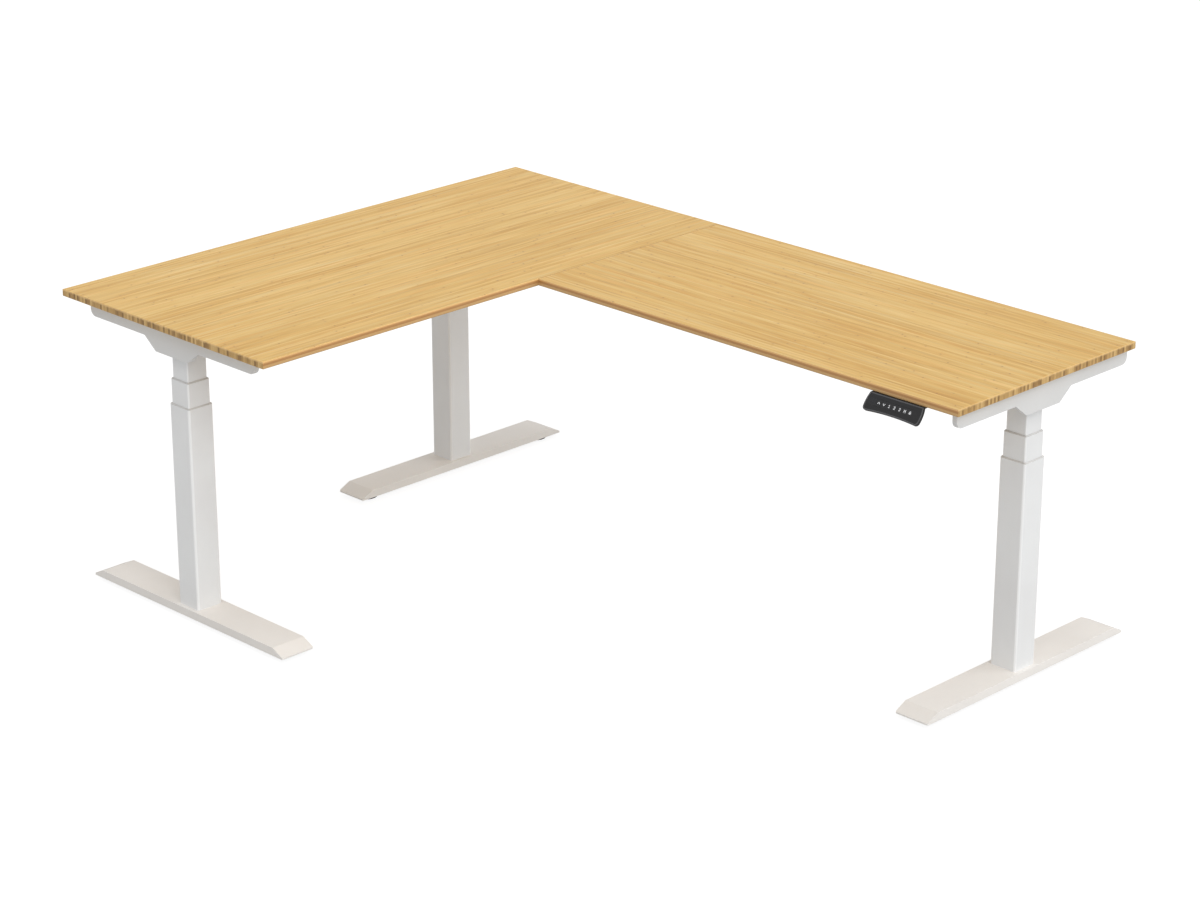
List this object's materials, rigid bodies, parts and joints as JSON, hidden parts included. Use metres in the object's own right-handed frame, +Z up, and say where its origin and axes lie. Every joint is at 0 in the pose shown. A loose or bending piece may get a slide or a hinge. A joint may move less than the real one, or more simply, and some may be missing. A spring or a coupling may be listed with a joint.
{
  "type": "height adjustable desk",
  "caption": "L-shaped standing desk: two bamboo panels on white three-stage lifting columns with long flat feet, a keypad under the front edge",
  "frame": {"origin": "on the floor, at the middle of the desk's overall footprint, feet included", "axes": "+X along the main panel to the right, +Y to its back edge, +Z up"},
  "size_m": [2.082, 1.5744, 0.773],
  "materials": {
    "bamboo": "satin lacquered bamboo strips",
    "white_steel": "white powder coat",
    "guide_plastic": "matte",
    "spindle_steel": "machined",
    "housing_cast": "die cast, painted light grey",
    "motor_black": "black",
    "box_black": "fine texture",
    "keypad_black": "soft satin",
    "key_black": "soft satin with white icons",
    "window": "gloss",
    "lead_black": "matte",
    "rubber_black": "matte",
    "fastener": "black zinc"
  },
  "bodies": {
    "corner_base": {"corner_foot": "white_steel", "corner_outer_tube": "white_steel", "corner_outer_bush": "guide_plastic", "corner_screw_post": "spindle_steel"},
    "corner_middle": {"corner_middle_tube": "white_steel", "corner_middle_bush": "guide_plastic"},
    "head": {"main_top": "bamboo", "return_top": "bamboo", "join_plates": "white_steel", "top_screws": "fastener", "main_rails": "white_steel", "return_rails": "white_steel", "frame_bolts": "fastener", "control_box": "box_black", "keypad_case": "keypad_black", "keypad_window": "window", "leads": "lead_black", "left_inner_tube": "white_steel", "left_gear_housing": "housing_cast", "left_motor": "motor_black", "left_side_bracket": "white_steel", "corner_inner_tube": "white_steel", "corner_gear_housing": "housing_cast", "corner_motor": "motor_black", "corner_side_bracket": "white_steel", "right_inner_tube": "white_steel", "right_gear_housing": "housing_cast", "right_motor": "motor_black", "right_side_bracket": "white_steel"},
    "left_middle": {"left_middle_tube": "white_steel", "left_middle_bush": "guide_plastic"},
    "left_base": {"left_foot": "white_steel", "left_outer_tube": "white_steel", "left_outer_bush": "guide_plastic", "left_screw_post": "spindle_steel"},
    "right_middle": {"right_middle_tube": "white_steel", "right_middle_bush": "guide_plastic"},
    "right_base": {"right_foot": "white_steel", "right_outer_tube": "white_steel", "right_outer_bush": "guide_plastic", "right_screw_post": "spindle_steel"},
    "left_lead_spindle": {"left_lead_screw": "spindle_steel"},
    "left_hollow_spindle": {"left_hollow_screw": "spindle_steel"},
    "left_level_inner": {"left_glide_inner": "rubber_black"},
    "left_level_outer": {"left_glide_outer": "rubber_black"},
    "corner_lead_spindle": {"corner_lead_screw": "spindle_steel"},
    "corner_hollow_spindle": {"corner_hollow_screw": "spindle_steel"},
    "corner_level_front": {"corner_glide_front": "rubber_black"},
    "corner_level_back": {"corner_glide_back": "rubber_black"},
    "right_lead_spindle": {"right_lead_screw": "spindle_steel"},
    "right_hollow_spindle": {"right_hollow_screw": "spindle_steel"},
    "right_level_front": {"right_glide_front": "rubber_black"},
    "right_level_back": {"right_glide_back": "rubber_black"},
    "up_key": {"key_up": "key_black"},
    "down_key": {"key_down": "key_black"},
    "one_key": {"key_one": "key_black"},
    "two_key": {"key_two": "key_black"},
    "three_key": {"key_three": "key_black"},
    "memory_key": {"key_memory": "key_black"},
    "alarm_key": {"key_alarm": "key_black"}
  },
  "joints": [
    {"name": "lift", "type": "slide", "parent": "corner_base", "child": "corner_middle", "axis": [0, 0, 1], "range_m": [-0.054, 0.271]},
    {"name": "corner_inner_slide", "type": "slide", "parent": "corner_middle", "child": "head", "axis": [0, 0, 1], "range_m": [-0.054, 0.271]},
    {"name": "left_inner_slide", "type": "slide", "parent": "head", "child": "left_middle", "axis": [0, 0, -1], "range_m": [-0.054, 0.271]},
    {"name": "left_middle_slide", "type": "slide", "parent": "left_middle", "child": "left_base", "axis": [0, 0, -1], "range_m": [-0.054, 0.271]},
    {"name": "right_inner_slide", "type": "slide", "parent": "head", "child": "right_middle", "axis": [0, 0, -1], "range_m": [-0.054, 0.271]},
    {"name": "right_middle_slide", "type": "slide", "parent": "right_middle", "child": "right_base", "axis": [0, 0, -1], "range_m": [-0.054, 0.271]},
    {"name": "left_lead_spin", "type": "hinge", "parent": "head", "child": "left_lead_spindle", "pos_m": [-0.66, -0.70425, 0.4], "axis": [0, 0, 1], "range_deg": [-4861, 24391]},
    {"name": "left_hollow_spin", "type": "hinge", "parent": "left_middle", "child": "left_hollow_spindle", "pos_m": [-0.66, -0.70425, 0.4], "axis": [0, 0, 1], "range_deg": [-2431, 12196]},
    {"name": "left_level_inner_screw", "type": "slide", "parent": "left_base", "child": "left_level_inner", "axis": [0, 0, -1], "range_m": [0, 0.01]},
    {"name": "left_level_outer_screw", "type": "slide", "parent": "left_base", "child": "left_level_outer", "axis": [0, 0, -1], "range_m": [0, 0.01]},
    {"name": "corner_lead_spin", "type": "hinge", "parent": "head", "child": "corner_lead_spindle", "pos_m": [-0.971, 0.41975, 0.4], "axis": [0, 0, 1], "range_deg": [-4861, 24391]},
    {"name": "corner_hollow_spin", "type": "hinge", "parent": "corner_middle", "child": "corner_hollow_spindle", "pos_m": [-0.971, 0.41975, 0.4], "axis": [0, 0, 1], "range_deg": [-2431, 12196]},
    {"name": "corner_level_front_screw", "type": "slide", "parent": "corner_base", "child": "corner_level_front", "axis": [0, 0, -1], "range_m": [0, 0.01]},
    {"name": "corner_level_back_screw", "type": "slide", "parent": "corner_base", "child": "corner_level_back", "axis": [0, 0, -1], "range_m": [0, 0.01]},
    {"name": "right_lead_spin", "type": "hinge", "parent": "head", "child": "right_lead_spindle", "pos_m": [0.97, 0.41975, 0.4], "axis": [0, 0, 1], "range_deg": [-4861, 24391]},
    {"name": "right_hollow_spin", "type": "hinge", "parent": "right_middle", "child": "right_hollow_spindle", "pos_m": [0.97, 0.41975, 0.4], "axis": [0, 0, 1], "range_deg": [-2431, 12196]},
    {"name": "right_level_front_screw", "type": "slide", "parent": "right_base", "child": "right_level_front", "axis": [0, 0, -1], "range_m": [0, 0.01]},
    {"name": "right_level_back_screw", "type": "slide", "parent": "right_base", "child": "right_level_back", "axis": [0, 0, -1], "range_m": [0, 0.01]},
    {"name": "up_key_press", "type": "slide", "parent": "head", "child": "up_key", "axis": [0, 0.7971, -0.6039], "range_m": [0, 0.0006], "stiffness_N_per_m": 600, "springref_m": -0.0005},
    {"name": "down_key_press", "type": "slide", "parent": "head", "child": "down_key", "axis": [0, 0.7971, -0.6039], "range_m": [0, 0.0006], "stiffness_N_per_m": 600, "springref_m": -0.0005},
    {"name": "one_key_press", "type": "slide", "parent": "head", "child": "one_key", "axis": [0, 0.7971, -0.6039], "range_m": [0, 0.0006], "stiffness_N_per_m": 600, "springref_m": -0.0005},
    {"name": "two_key_press", "type": "slide", "parent": "head", "child": "two_key", "axis": [0, 0.7971, -0.6039], "range_m": [0, 0.0006], "stiffness_N_per_m": 600, "springref_m": -0.0005},
    {"name": "three_key_press", "type": "slide", "parent": "head", "child": "three_key", "axis": [0, 0.7971, -0.6039], "range_m": [0, 0.0006], "stiffness_N_per_m": 600, "springref_m": -0.0005},
    {"name": "memory_key_press", "type": "slide", "parent": "head", "child": "memory_key", "axis": [0, 0.7971, -0.6039], "range_m": [0, 0.0006], "stiffness_N_per_m": 600, "springref_m": -0.0005},
    {"name": "alarm_key_press", "type": "slide", "parent": "head", "child": "alarm_key", "axis": [0, 0.7971, -0.6039], "range_m": [0, 0.0006], "stiffness_N_per_m": 600, "springref_m": -0.0005}
  ],
  "couplings": [
    {"joint": "corner_inner_slide", "follows": "lift", "ratio": 1},
    {"joint": "left_inner_slide", "follows": "lift", "ratio": 1},
    {"joint": "left_middle_slide", "follows": "lift", "ratio": 1},
    {"joint": "right_inner_slide", "follows": "lift", "ratio": 1},
    {"joint": "right_middle_slide", "follows": "lift", "ratio": 1},
    {"joint": "left_lead_spin", "follows": "lift", "rad_per_m": 1570.8},
    {"joint": "left_hollow_spin", "follows": "lift", "rad_per_m": 785.4},
    {"joint": "corner_lead_spin", "follows": "lift", "rad_per_m": 1570.8},
    {"joint": "corner_hollow_spin", "follows": "lift", "rad_per_m": 785.4},
    {"joint": "right_lead_spin", "follows": "lift", "rad_per_m": 1570.8},
    {"joint": "right_hollow_spin", "follows": "lift", "rad_per_m": 785.4}
  ]
}
